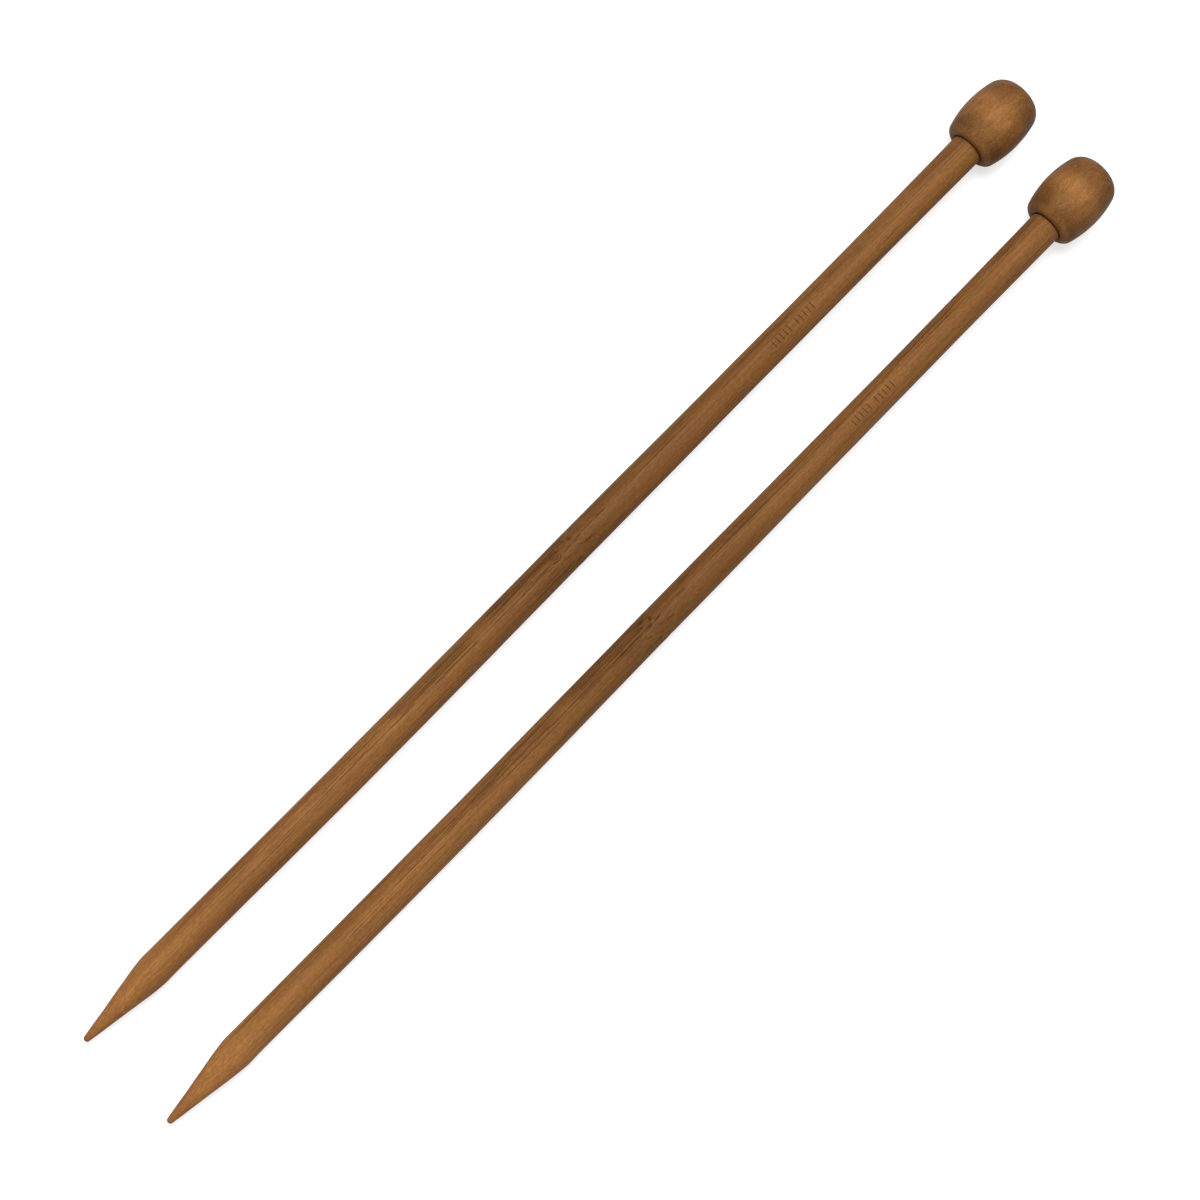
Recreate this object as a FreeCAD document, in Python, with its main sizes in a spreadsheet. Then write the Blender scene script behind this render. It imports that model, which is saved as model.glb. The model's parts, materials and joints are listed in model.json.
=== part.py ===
"""A pair of straight bamboo knitting needles, 10 mm gauge and 400 mm long, lying side by side.

Each needle is three pieces: a pointed shaft, a turned knob drilled to take the shaft's plain
end, and the thin cup of glue that holds the two together.

Units are millimetres. Each piece is drawn in a frame of its own with +X along its needle: a
shaft's origin is the end of its tip, and a knob's and a glue film's is the centre of the knob's
base. The finished part stands on Z = 0 with +X from the tips to the knobs and +Z up, and its
origin is the bottom centre of the pair.
"""

import FreeCAD, Part
import math
import os

from FreeCAD import Placement, Rotation, Vector
from Sketcher import Constraint

# alias: value
DIMENSIONS = {
    "needle_length": 400.0,      # end of the tip to the crown of the knob
    "needle_pitch": 33.0,        # between the two needles' axes
    "shaft_radius": 5.0,
    "tip_radius": 1.0,           # the blunt ball at the very end
    "taper_length": 29.0,        # end of the tip to where the full diameter begins
    "taper_arc_radius": 600.0,   # the point's sides bulge very slightly
    "shoulder_radius": 16.0,     # blends the point into the cylinder
    "tenon_radius": 4.6,         # the plain end is turned down to enter the knob
    "step_chamfer": 0.2,         # breaks the shaft's edge just before the tenon
    "end_chamfer": 0.6,          # on the tenon's end
    "knob_length": 25.0,
    "knob_radius": 10.0,
    "knob_side_radius": 35.0,    # the long arc of the barrel's side
    "knob_belly_offset": 11.6,   # base to the widest place
    "knob_base_corner": 2.4,
    "knob_crown_corner": 6.0,
    "knob_crown_radius": 16.0,
    "glue_gap": 0.15,            # between tenon and bore, all round
    "glue_start": 0.9,           # the film stops this far inside the knob's base
    "tenon_length": 15.0,        # how far the shaft goes into the knob
    "bore_depth": 15.3,
    "bore_mouth_radius": 5.6,    # of the countersink, which shows as a groove round the shaft
    "bore_mouth_angle": 90.0,
    "drill_point_angle": 118.0,
    "mark_centre": 296.0,        # end of the tip to the middle of the gauge mark
    "mark_groups": 2,
    "mark_group_pitch": 10.0,
    "stroke_count": 5,           # in each group
    "stroke_pitch": 1.7,
    "stroke_length": 2.5,
    "stroke_width": 0.35,
    "stroke_depth": 0.3,
}

SHEET = "Dimensions"
ORIGIN_POINT = (-1, 1)           # how Sketcher names a sketch's origin and its X axis
HORIZONTAL_AXIS = -1
START, END, CENTRE = 1, 2, 3


def make_sheet(doc):
    """The driving dimensions, one aliased cell each."""
    sheet = doc.addObject("Spreadsheet::Sheet", SHEET)
    for row, (alias, value) in enumerate(DIMENSIONS.items(), start=1):
        sheet.set(f"A{row}", alias)
        sheet.set(f"B{row}", str(value))
        sheet.setAlias(f"B{row}", alias)
    doc.recompute()
    return sheet


def cell(alias):
    """The expression that reads one dimension."""
    return f"{SHEET}.{alias}"


def origin_feature(body, role):
    return next(f for f in body.Origin.OriginFeatures if f.Role == role)


def new_sketch(body, name, role):
    """An empty sketch on one of its body's own origin planes."""
    sketch = body.newObject("Sketcher::SketchObject", name)
    sketch.AttachmentSupport = (origin_feature(body, role), [""])
    sketch.MapMode = "FlatFace"
    return sketch


def dimension(sketch, constraint, expression):
    """Add a dimensional constraint and bind its value to the sheet."""
    index = sketch.addConstraint(constraint)
    sketch.setExpression(f"Constraints[{index}]", expression)


def arc(centre, radius, start, end):
    """A circle's arc, anticlockwise from the point start to the point end."""
    first = math.atan2(start.y - centre.y, start.x - centre.x)
    last = math.atan2(end.y - centre.y, end.x - centre.x)
    circle = Part.Circle(centre, Vector(0, 0, 1), radius)
    return Part.ArcOfCircle(circle, first, last)


def line(start, end):
    return Part.LineSegment(start, end)


def meeting_point(first, first_distance, second, second_distance, above):
    """The point at the given distances from two others, on the upper or the lower side."""
    apart = second - first
    along = (apart.Length ** 2 + first_distance ** 2 - second_distance ** 2) / (2 * apart.Length)
    across = math.sqrt(first_distance ** 2 - along ** 2)
    unit = apart / apart.Length
    normal = Vector(-unit.y, unit.x, 0)
    if (normal.y > 0) != above:
        normal = -normal
    return first + unit * along + normal * across


def beyond(centre, through, distance):
    """The point at a distance from centre, on the ray through another point."""
    ray = through - centre
    return centre + ray * (distance / ray.Length)


def revolve(body, sketch, name):
    revolution = body.newObject("PartDesign::Revolution", name)
    revolution.Profile = sketch
    revolution.ReferenceAxis = (sketch, ["H_Axis"])
    revolution.Angle = 360.0
    body.Tip = revolution
    return revolution


def draw_shaft_profile(body, sheet):
    """Half of the shaft's outline: ball, bulging taper, shoulder, cylinder, chamfered tenon."""
    radius = sheet.shaft_radius
    tenon_x = sheet.needle_length - sheet.knob_length
    end_x = tenon_x + sheet.tenon_length
    ball = Vector(sheet.tip_radius, 0, 0)
    shoulder = Vector(sheet.taper_length, radius - sheet.shoulder_radius, 0)
    taper = meeting_point(ball, sheet.taper_arc_radius - sheet.tip_radius,
                          shoulder, sheet.taper_arc_radius - sheet.shoulder_radius, above=False)
    tip_end = Vector(0, 0, 0)
    taper_start = beyond(taper, ball, sheet.taper_arc_radius)
    taper_end = beyond(taper, shoulder, sheet.taper_arc_radius)
    cylinder_start = Vector(sheet.taper_length, radius, 0)
    cylinder_end = Vector(tenon_x - sheet.step_chamfer, radius, 0)
    step_top = Vector(tenon_x, radius - sheet.step_chamfer, 0)
    tenon_start = Vector(tenon_x, sheet.tenon_radius, 0)
    tenon_end = Vector(end_x - sheet.end_chamfer, sheet.tenon_radius, 0)
    face_top = Vector(end_x, sheet.tenon_radius - sheet.end_chamfer, 0)
    face_centre = Vector(end_x, 0, 0)

    sketch = new_sketch(body, "ShaftProfile", "XY_Plane")
    curves = sketch.addGeometry([
        arc(ball, sheet.tip_radius, taper_start, tip_end),
        arc(taper, sheet.taper_arc_radius, taper_end, taper_start),
        arc(shoulder, sheet.shoulder_radius, cylinder_start, taper_end),
        line(cylinder_start, cylinder_end),
        line(cylinder_end, step_top),
        line(step_top, tenon_start),
        line(tenon_start, tenon_end),
        line(tenon_end, face_top),
        line(face_top, face_centre),
        line(face_centre, tip_end),
    ])
    (ball_arc, taper_arc, shoulder_arc, cylinder, broken_edge, step, tenon, chamfer, face,
     axis) = curves
    sketch.addConstraint([
        Constraint("Coincident", ball_arc, END, *ORIGIN_POINT),
        Constraint("PointOnObject", ball_arc, CENTRE, HORIZONTAL_AXIS),
        Constraint("Tangent", ball_arc, START, taper_arc, END),
        Constraint("Tangent", taper_arc, START, shoulder_arc, END),
        Constraint("Tangent", shoulder_arc, START, cylinder, START),
        Constraint("Coincident", cylinder, END, broken_edge, START),
        Constraint("Coincident", broken_edge, END, step, START),
        Constraint("Coincident", step, END, tenon, START),
        Constraint("Coincident", tenon, END, chamfer, START),
        Constraint("Coincident", chamfer, END, face, START),
        Constraint("Coincident", face, END, axis, START),
        Constraint("Coincident", axis, END, *ORIGIN_POINT),
        Constraint("Horizontal", cylinder),
        Constraint("Vertical", step),
        Constraint("Horizontal", tenon),
        Constraint("Vertical", face),
        Constraint("Horizontal", axis),
    ])
    dimension(sketch, Constraint("Radius", ball_arc, sheet.tip_radius), cell("tip_radius"))
    dimension(sketch, Constraint("Radius", taper_arc, sheet.taper_arc_radius),
              cell("taper_arc_radius"))
    dimension(sketch, Constraint("Radius", shoulder_arc, sheet.shoulder_radius),
              cell("shoulder_radius"))
    dimension(sketch, Constraint("DistanceX", *ORIGIN_POINT, cylinder, START, sheet.taper_length),
              cell("taper_length"))
    dimension(sketch, Constraint("DistanceY", *ORIGIN_POINT, cylinder, START, radius),
              cell("shaft_radius"))
    dimension(sketch, Constraint("DistanceX", *ORIGIN_POINT, step, START, tenon_x),
              f"{cell('needle_length')} - {cell('knob_length')}")
    dimension(sketch, Constraint("DistanceX", broken_edge, START, broken_edge, END,
                                 sheet.step_chamfer), cell("step_chamfer"))
    dimension(sketch, Constraint("DistanceY", broken_edge, END, broken_edge, START,
                                 sheet.step_chamfer), cell("step_chamfer"))
    dimension(sketch, Constraint("DistanceY", *ORIGIN_POINT, tenon, START, sheet.tenon_radius),
              cell("tenon_radius"))
    dimension(sketch, Constraint("DistanceX", step, END, axis, START, sheet.tenon_length),
              cell("tenon_length"))
    dimension(sketch, Constraint("DistanceX", chamfer, START, chamfer, END, sheet.end_chamfer),
              cell("end_chamfer"))
    dimension(sketch, Constraint("DistanceY", chamfer, END, chamfer, START, sheet.end_chamfer),
              cell("end_chamfer"))
    return sketch


def draw_mark_stroke(body, sheet):
    """One round-ended stroke across the top of the shaft: the first of the gauge mark."""
    half_width = sheet.stroke_width / 2
    reach = sheet.stroke_length / 2 - half_width
    mark_length = (sheet.mark_groups - 1) * sheet.mark_group_pitch
    mark_length += (sheet.stroke_count - 1) * sheet.stroke_pitch
    x = sheet.mark_centre - mark_length / 2
    far, near = Vector(x, reach, 0), Vector(x, -reach, 0)
    side = Vector(half_width, 0, 0)

    sketch = new_sketch(body, "MarkStroke", "XY_Plane")
    sketch.setExpression("AttachmentOffset.Base.z", cell("shaft_radius"))
    far_arc, left, near_arc, right = sketch.addGeometry([
        arc(far, half_width, far + side, far - side),
        line(far - side, near - side),
        arc(near, half_width, near - side, near + side),
        line(near + side, far + side),
    ])
    sketch.addConstraint([
        Constraint("Tangent", far_arc, END, left, START),
        Constraint("Tangent", left, END, near_arc, START),
        Constraint("Tangent", near_arc, END, right, START),
        Constraint("Tangent", right, END, far_arc, START),
        Constraint("Vertical", left),
        Constraint("Symmetric", far_arc, CENTRE, near_arc, CENTRE, HORIZONTAL_AXIS),
    ])
    dimension(sketch, Constraint("Radius", far_arc, half_width), f"{cell('stroke_width')} / 2")
    dimension(sketch, Constraint("DistanceY", near_arc, CENTRE, far_arc, CENTRE, 2 * reach),
              f"{cell('stroke_length')} - {cell('stroke_width')}")
    dimension(sketch, Constraint("DistanceX", *ORIGIN_POINT, far_arc, CENTRE, x),
              f"{cell('mark_centre')} - (({cell('mark_groups')} - 1) * {cell('mark_group_pitch')}"
              f" + ({cell('stroke_count')} - 1) * {cell('stroke_pitch')}) / 2")
    return sketch


def row_along_x(body, name, count, pitch):
    """A linear pattern along the needle, for a MultiTransform to use."""
    pattern = body.newObject("PartDesign::LinearPattern", name)
    pattern.Direction = (origin_feature(body, "X_Axis"), [""])
    pattern.setExpression("Occurrences", cell(count))
    pattern.setExpression("Length", f"({cell(count)} - 1) * {cell(pitch)}")
    return pattern


def engrave_mark(doc, body, sheet):
    """The gauge mark: groups of short strokes, one stroke to a millimetre of diameter."""
    stroke = body.newObject("PartDesign::Pocket", "Stroke")
    stroke.Profile = draw_mark_stroke(body, sheet)
    stroke.setExpression("Length", cell("stroke_depth"))
    body.Tip = stroke
    doc.recompute()

    mark = body.newObject("PartDesign::MultiTransform", "GaugeMark")
    mark.Originals = [stroke]
    mark.Transformations = [
        row_along_x(body, "StrokesInGroup", "stroke_count", "stroke_pitch"),
        row_along_x(body, "Groups", "mark_groups", "mark_group_pitch"),
    ]
    body.Tip = mark
    return mark


def make_shaft(doc, sheet, label):
    """The pointed bamboo rod, with the gauge mark cut into its upper side near the knob."""
    body = doc.addObject("PartDesign::Body", label)
    rod = revolve(body, draw_shaft_profile(body, sheet), "Rod")
    doc.recompute()
    uncut_volume = rod.Shape.Volume
    engrave_mark(doc, body, sheet)
    doc.recompute()
    stroke_box = sheet.stroke_length * sheet.stroke_width * sheet.stroke_depth
    strokes = sheet.stroke_count * sheet.mark_groups
    removed = uncut_volume - body.Shape.Volume
    if not 0.5 * strokes * stroke_box < removed < strokes * stroke_box:
        raise RuntimeError(f"{label}: the gauge mark took away {removed:.3f} mm3")
    return body


def draw_knob_profile(body, sheet):
    """Half of the knob's outline: flat base, small corner, barrel side, round corner, crown."""
    side = Vector(sheet.knob_belly_offset, sheet.knob_radius - sheet.knob_side_radius, 0)
    crown = Vector(sheet.knob_length - sheet.knob_crown_radius, 0, 0)
    crown_corner = meeting_point(side, sheet.knob_side_radius - sheet.knob_crown_corner,
                                 crown, sheet.knob_crown_radius - sheet.knob_crown_corner,
                                 above=True)
    corner_rise = math.sqrt((sheet.knob_side_radius - sheet.knob_base_corner) ** 2
                            - (sheet.knob_base_corner - side.x) ** 2)
    base_corner = Vector(sheet.knob_base_corner, side.y + corner_rise, 0)
    base_centre = Vector(0, 0, 0)
    base_edge = Vector(0, base_corner.y, 0)
    side_start = beyond(side, base_corner, sheet.knob_side_radius)
    side_end = beyond(side, crown_corner, sheet.knob_side_radius)
    crown_start = beyond(crown, crown_corner, sheet.knob_crown_radius)
    apex = Vector(sheet.knob_length, 0, 0)

    sketch = new_sketch(body, "KnobProfile", "XY_Plane")
    base, base_arc, side_arc, corner_arc, crown_arc, axis = sketch.addGeometry([
        line(base_centre, base_edge),
        arc(base_corner, sheet.knob_base_corner, side_start, base_edge),
        arc(side, sheet.knob_side_radius, side_end, side_start),
        arc(crown_corner, sheet.knob_crown_corner, crown_start, side_end),
        arc(crown, sheet.knob_crown_radius, apex, crown_start),
        line(apex, base_centre),
    ])
    sketch.addConstraint([
        Constraint("Coincident", base, START, *ORIGIN_POINT),
        Constraint("Vertical", base),
        Constraint("Tangent", base, END, base_arc, END),
        Constraint("Tangent", base_arc, START, side_arc, END),
        Constraint("Tangent", side_arc, START, corner_arc, END),
        Constraint("Tangent", corner_arc, START, crown_arc, END),
        Constraint("PointOnObject", crown_arc, CENTRE, HORIZONTAL_AXIS),
        Constraint("Coincident", crown_arc, START, axis, START),
        Constraint("Coincident", axis, END, *ORIGIN_POINT),
        Constraint("Horizontal", axis),
    ])
    radii = {
        base_arc: "knob_base_corner",
        side_arc: "knob_side_radius",
        corner_arc: "knob_crown_corner",
        crown_arc: "knob_crown_radius",
    }
    for curve, alias in radii.items():
        dimension(sketch, Constraint("Radius", curve, getattr(sheet, alias)), cell(alias))
    dimension(sketch, Constraint("DistanceX", *ORIGIN_POINT, side_arc, CENTRE, side.x),
              cell("knob_belly_offset"))
    dimension(sketch, Constraint("DistanceY", side_arc, CENTRE, *ORIGIN_POINT, -side.y),
              f"{cell('knob_side_radius')} - {cell('knob_radius')}")
    dimension(sketch, Constraint("DistanceX", *ORIGIN_POINT, axis, START, sheet.knob_length),
              cell("knob_length"))
    return sketch


def drill_bore(doc, body, sheet):
    """The blind hole for the tenon: drilled from the base, with a small countersunk mouth."""
    bore_radius = sheet.tenon_radius + sheet.glue_gap
    sketch = new_sketch(body, "BoreCentre", "YZ_Plane")
    circle = sketch.addGeometry(Part.Circle(Vector(0, 0, 0), Vector(0, 0, 1), bore_radius))
    sketch.addConstraint(Constraint("Coincident", circle, CENTRE, *ORIGIN_POINT))
    bore_expression = f"{cell('tenon_radius')} + {cell('glue_gap')}"
    dimension(sketch, Constraint("Radius", circle, bore_radius), bore_expression)
    doc.recompute()

    bore = body.newObject("PartDesign::Hole", "Bore")
    bore.Profile = sketch
    bore.Reversed = True
    bore.DepthType = "Dimension"
    bore.DrillPoint = "Angled"
    bore.HoleCutType = "Countersink"
    bore.setExpression("Diameter", f"2 * ({bore_expression})")
    bore.setExpression("Depth", cell("bore_depth"))
    bore.setExpression("DrillPointAngle", cell("drill_point_angle"))
    bore.setExpression("HoleCutDiameter", f"2 * {cell('bore_mouth_radius')}")
    bore.setExpression("HoleCutCountersinkAngle", cell("bore_mouth_angle"))
    body.Tip = bore
    return bore


def make_knob(doc, sheet, label):
    """The turned barrel-shaped knob, drilled from its base."""
    body = doc.addObject("PartDesign::Body", label)
    barrel = revolve(body, draw_knob_profile(body, sheet), "Barrel")
    doc.recompute()
    solid_volume = barrel.Shape.Volume
    drill_bore(doc, body, sheet)
    doc.recompute()
    bore_volume = math.pi * (sheet.tenon_radius + sheet.glue_gap) ** 2 * sheet.bore_depth
    removed = solid_volume - body.Shape.Volume
    if not bore_volume < removed < 1.2 * bore_volume:
        raise RuntimeError(f"{label}: the bore took away {removed:.1f} mm3")
    return body


def make_glue_film(doc, sheet, label):
    """The cup of glue that fills the clearance round the tenon and behind its end."""
    inner = sheet.tenon_radius
    outer = sheet.tenon_radius + sheet.glue_gap
    chamfer_x = sheet.tenon_length - sheet.end_chamfer
    chamfer_y = inner - sheet.end_chamfer
    corners = [
        Vector(sheet.glue_start, inner, 0),
        Vector(sheet.glue_start, outer, 0),
        Vector(sheet.bore_depth, outer, 0),
        Vector(sheet.bore_depth, 0, 0),
        Vector(sheet.tenon_length, 0, 0),
        Vector(sheet.tenon_length, chamfer_y, 0),
        Vector(chamfer_x, inner, 0),
    ]
    body = doc.addObject("PartDesign::Body", label)
    sketch = new_sketch(body, "FilmProfile", "XY_Plane")
    edges = sketch.addGeometry([line(a, b) for a, b in zip(corners, corners[1:] + corners[:1])])
    mouth, wall, floor, axis, face, chamfer, sleeve = edges
    for edge, following in zip(edges, edges[1:] + edges[:1]):
        sketch.addConstraint(Constraint("Coincident", edge, END, following, START))
    for edge in (mouth, floor, face):
        sketch.addConstraint(Constraint("Vertical", edge))
    for edge in (wall, sleeve):
        sketch.addConstraint(Constraint("Horizontal", edge))
    for edge, point in ((axis, START), (axis, END)):
        sketch.addConstraint(Constraint("PointOnObject", edge, point, HORIZONTAL_AXIS))
    dimension(sketch, Constraint("DistanceX", *ORIGIN_POINT, mouth, START, sheet.glue_start),
              cell("glue_start"))
    dimension(sketch, Constraint("DistanceY", *ORIGIN_POINT, mouth, START, inner),
              cell("tenon_radius"))
    dimension(sketch, Constraint("DistanceY", mouth, START, mouth, END, sheet.glue_gap),
              cell("glue_gap"))
    dimension(sketch, Constraint("DistanceX", *ORIGIN_POINT, axis, START, sheet.bore_depth),
              cell("bore_depth"))
    dimension(sketch, Constraint("DistanceX", *ORIGIN_POINT, axis, END, sheet.tenon_length),
              cell("tenon_length"))
    dimension(sketch, Constraint("DistanceX", chamfer, END, chamfer, START, sheet.end_chamfer),
              cell("end_chamfer"))
    dimension(sketch, Constraint("DistanceY", chamfer, START, chamfer, END, sheet.end_chamfer),
              cell("end_chamfer"))
    revolve(body, sketch, "Film")
    return body


def resting_placement(sheet, y):
    """Where a needle lies: on its knob's belly and on the shoulder of its point.

    Both contacts are arcs of the outline, so the tilt is the one that puts the lowest point of
    both circles at the same height. Heights here are above the needle's axis.
    """
    knob_x = sheet.needle_length - sheet.knob_length + sheet.knob_belly_offset
    knob_height = sheet.knob_side_radius - sheet.knob_radius
    shoulder_height = sheet.shoulder_radius - sheet.shaft_radius
    apart_x = knob_x - sheet.taper_length
    apart_height = knob_height - shoulder_height
    radius_step = sheet.knob_side_radius - sheet.shoulder_radius
    tilt = math.asin(radius_step / math.hypot(apart_x, apart_height))
    tilt -= math.atan2(apart_height, apart_x)
    tip_height = sheet.knob_side_radius - knob_height * math.cos(tilt) - knob_x * math.sin(tilt)

    crown_x = sheet.needle_length - sheet.knob_crown_radius
    lowest_x = sheet.tip_radius * (math.cos(tilt) - 1)
    highest_x = crown_x * math.cos(tilt) + sheet.knob_crown_radius
    position = Vector(-(lowest_x + highest_x) / 2, y, tip_height)
    return Placement(position, Rotation(Vector(0, -1, 0), math.degrees(tilt)))


def make_needle(doc, sheet, side, y):
    """One whole needle, its three pieces in place."""
    shaft = make_shaft(doc, sheet, f"{side}_shaft")
    knob = make_knob(doc, sheet, f"{side}_knob")
    film = make_glue_film(doc, sheet, f"{side}_glue_film")
    needle = resting_placement(sheet, y)
    base = Placement(Vector(sheet.needle_length - sheet.knob_length, 0, 0), Rotation())
    shaft.Placement = needle
    knob.Placement = needle * base
    film.Placement = needle * base
    return [shaft, knob, film]


def check(doc, pieces):
    """Stop if any object failed or any piece isn't one sound solid."""
    doc.recompute()
    for item in doc.Objects:
        if "Invalid" in item.State or "Error" in item.State:
            raise RuntimeError(f"{item.Label}: {item.State}")
        if item.isDerivedFrom("Sketcher::SketchObject") and not item.FullyConstrained:
            raise RuntimeError(f"{item.Label}: not fully constrained")
    for piece in pieces:
        shape = piece.Shape
        if shape.isNull() or not shape.isValid() or len(shape.Solids) != 1:
            raise RuntimeError(f"{piece.Label}: not one valid solid")


def main():
    doc = FreeCAD.newDocument("KnittingNeedles")
    sheet = make_sheet(doc)
    pieces = []
    for side, direction in (("left", 1), ("right", -1)):
        pieces += make_needle(doc, sheet, side, direction * sheet.needle_pitch / 2)
    check(doc, pieces)

    os.makedirs("parts", exist_ok=True)
    for piece in pieces:
        piece.Shape.exportStep(f"parts/{piece.Label}.step")
        box = piece.Shape.BoundBox
        print(f"{piece.Label}: {piece.Shape.Volume:.1f} mm3, "
              f"x {box.XMin:.3f} to {box.XMax:.3f}, z {box.ZMin:.3f} to {box.ZMax:.3f}")


main()
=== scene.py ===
"""Looks for a pair of straight bamboo knitting needles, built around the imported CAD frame.

Each shaft and each knob is replaced by a lathed mesh of the same outline with the real thing's
surface: the rod's unevenness and slight bow, its bamboo joint and its engraved gauge mark, and the
knob's turning marks and the soft lip round its mouth. The thin cups of glue keep their CAD meshes.

Outlines are worked out in millimetres and become metres when a mesh is made. A needle's own
frame has its origin at the end of the tip, +X along the axis towards the knob and +Z on the
side that faces up.
"""

import json
import math

import bmesh
import bpy
import numpy as np
from mathutils import Matrix, Vector


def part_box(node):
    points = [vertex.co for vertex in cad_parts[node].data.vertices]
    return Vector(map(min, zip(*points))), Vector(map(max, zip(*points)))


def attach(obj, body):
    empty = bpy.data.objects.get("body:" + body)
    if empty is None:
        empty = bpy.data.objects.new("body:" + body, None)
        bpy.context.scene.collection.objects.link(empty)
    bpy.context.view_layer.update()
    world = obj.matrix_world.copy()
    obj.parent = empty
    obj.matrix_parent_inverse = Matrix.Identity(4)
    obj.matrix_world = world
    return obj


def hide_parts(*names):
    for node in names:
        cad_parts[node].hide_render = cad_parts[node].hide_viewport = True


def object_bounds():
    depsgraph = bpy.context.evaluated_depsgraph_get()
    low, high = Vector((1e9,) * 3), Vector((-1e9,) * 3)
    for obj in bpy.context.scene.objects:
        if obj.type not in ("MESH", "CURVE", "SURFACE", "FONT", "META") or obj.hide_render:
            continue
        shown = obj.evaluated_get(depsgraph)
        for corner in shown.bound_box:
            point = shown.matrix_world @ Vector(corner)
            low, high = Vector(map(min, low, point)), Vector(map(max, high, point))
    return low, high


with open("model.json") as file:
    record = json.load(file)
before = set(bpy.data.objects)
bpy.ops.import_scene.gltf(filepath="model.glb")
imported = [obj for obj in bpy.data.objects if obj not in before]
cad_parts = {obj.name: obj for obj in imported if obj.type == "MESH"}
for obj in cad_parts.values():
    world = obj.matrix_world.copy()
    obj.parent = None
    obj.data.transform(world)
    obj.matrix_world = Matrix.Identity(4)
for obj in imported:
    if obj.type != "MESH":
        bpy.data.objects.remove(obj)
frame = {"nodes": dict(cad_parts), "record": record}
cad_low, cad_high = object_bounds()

MM = 0.001

# The needle's outline, in millimetres, as in the CAD model. The rod's radius and the place of the
# knob's base come from the frame
TIP_RADIUS = 1.0
TAPER_LENGTH = 29.0
TAPER_ARC_RADIUS = 600.0
SHOULDER_RADIUS = 16.0
TENON_RADIUS = 4.6
TENON_LENGTH = 15.0
STEP_CHAMFER = 0.2
TENON_CHAMFER = 0.6
KNOB_SIDE_RADIUS = 35.0
KNOB_BELLY_OFFSET = 11.6
KNOB_BASE_CORNER = 2.4
KNOB_CROWN_CORNER = 6.0
KNOB_CROWN_RADIUS = 16.0
KNOB_RADIUS = 10.0
KNOB_LENGTH = 25.0
BORE_RADIUS = 4.75
BORE_DEPTH = 15.3
DRILL_POINT_ANGLE = 118.0

# The knob's mouth closes softly round the shaft, where the CAD model has a deeper countersink:
# the radius that the lip's arc heads for, and the arc's own radius
MOUTH_RADIUS = 5.14
MOUTH_LIP_RADIUS = 0.6

# The gauge mark: groups of short strokes across the top of the shaft
MARK_CENTRE = 296.0
MARK_GROUPS = 2
MARK_GROUP_PITCH = 10.0
STROKE_COUNT = 5
STROKE_PITCH = 1.7
STROKE_LENGTH = 2.5
STROKE_WIDTH = 0.36
STROKE_DEPTH = 0.3

# The bamboo's joint: a low ridge round the rod with a hollow behind it, a small eye with a dented
# middle and a raised rim, and the short marks round it. An angle is measured from the top of the
# needle, in degrees, positive towards its left
JOINT_X = 202.0
JOINT_REACH = 14.0
RIDGE_HEIGHT = 0.035
RIDGE_WIDTH = 1.1
RIDGE_WANDER = 0.5
HOLLOW_DEPTH = 0.03
HOLLOW_WIDTH = 0.8
HOLLOW_OFFSET = 1.9
EYE_X = 201.2
EYE_ANGLE = 32.0
EYE_DEPTH = 0.20
EYE_LENGTH = 0.75
EYE_WIDTH = 0.5
EYE_RIM_HEIGHT = 0.07
EYE_RIM_RADIUS = 1.25
EYE_RIM_WIDTH = 0.35
# Each mark: distance from the tip, angle, length, width, darkness (a negative one, in the eye, is a
# painted highlight: it lightens the marks that it overlaps and stands out a little), and how many
# degrees it turns round the needle per millimetre
JOINT_MARKS_AND_GLINT = (
    (201.8, 31, 0.8, 1.3, 1.0, 0), (200.4, 33, 1.2, 1.0, -0.6, 0), (202.7, 24, 0.7, 0.9, 0.5, 0),
    (199.5, 10, 3.6, 0.50, 0.8, 0.8), (203.5, 13, 3.6, 0.55, 1.0, 1.8),
    (208.5, 18, 5.5, 0.42, 0.7, 0.3), (213.8, 18, 4.5, 0.50, 0.9, -0.2),
    (203.1, -9, 2.2, 0.45, 0.6, -5.0), (206.3, -16, 3.6, 0.52, 0.9, -0.8),
    (205.0, 35, 2.6, 0.35, 0.5, 1.5), (206.2, 27, 2.4, 0.32, 0.4, 0),
    (195.8, 27, 9.0, 0.40, 0.6, 0), (188.5, 28, 9.0, 0.35, 0.6, 0.2),
    (189.0, 12, 4.6, 0.35, 0.8, 0), (190.4, 2, 5.0, 0.32, 0.5, 0),
    (191.5, -13, 4.4, 0.35, 0.6, 0), (197.4, -13, 2.6, 0.40, 0.6, -3.0),
    (199.6, 43, 4.0, 0.5, 0.5, -1.0), (198.2, 54, 5.0, 0.5, 0.5, 0),
    (200.2, -48, 1.6, 0.8, 0.5, 2.0), (195.2, -41, 4.0, 0.7, 0.4, 1.0),
    (200.0, -70, 5.0, 0.6, 0.7, 0.8),
    (199.0, -105, 7.0, 0.5, 0.8, 0), (205.5, 118, 6.0, 0.5, 0.8, 0.6),
    (198.5, 160, 6.0, 0.5, 0.9, -0.5), (204.0, -140, 5.0, 0.6, 0.8, 1.0),
)

# Where a knob is painted darker or paler, mostly painted light: shade towards the ends and the
# sides, a highlight on top of the middle and paler spots by the mouth, while the patches on the far
# side are the wood's own tone. Distance from the base, angle, length, width, darkness
KNOB_LIGHT_AND_TONE_PATCHES = (
    (3.8, 46, 8, 7, 0.55), (6.6, 2, 3.5, 3.5, 0.20), (5.5, -48, 12, 8, 0.25),
    (13.0, 2, 10, 9, -0.45), (12.5, 52, 5, 6, -0.15), (0.4, -48, 3, 8, -0.40),
    (18.0, -45, 7, 9, 0.30), (18.5, 42, 6, 8, 0.25),
    (8.0, 140, 9, 8, 0.35), (14.0, -150, 8, 7, -0.25), (19.0, 100, 7, 9, 0.25),
)

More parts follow.
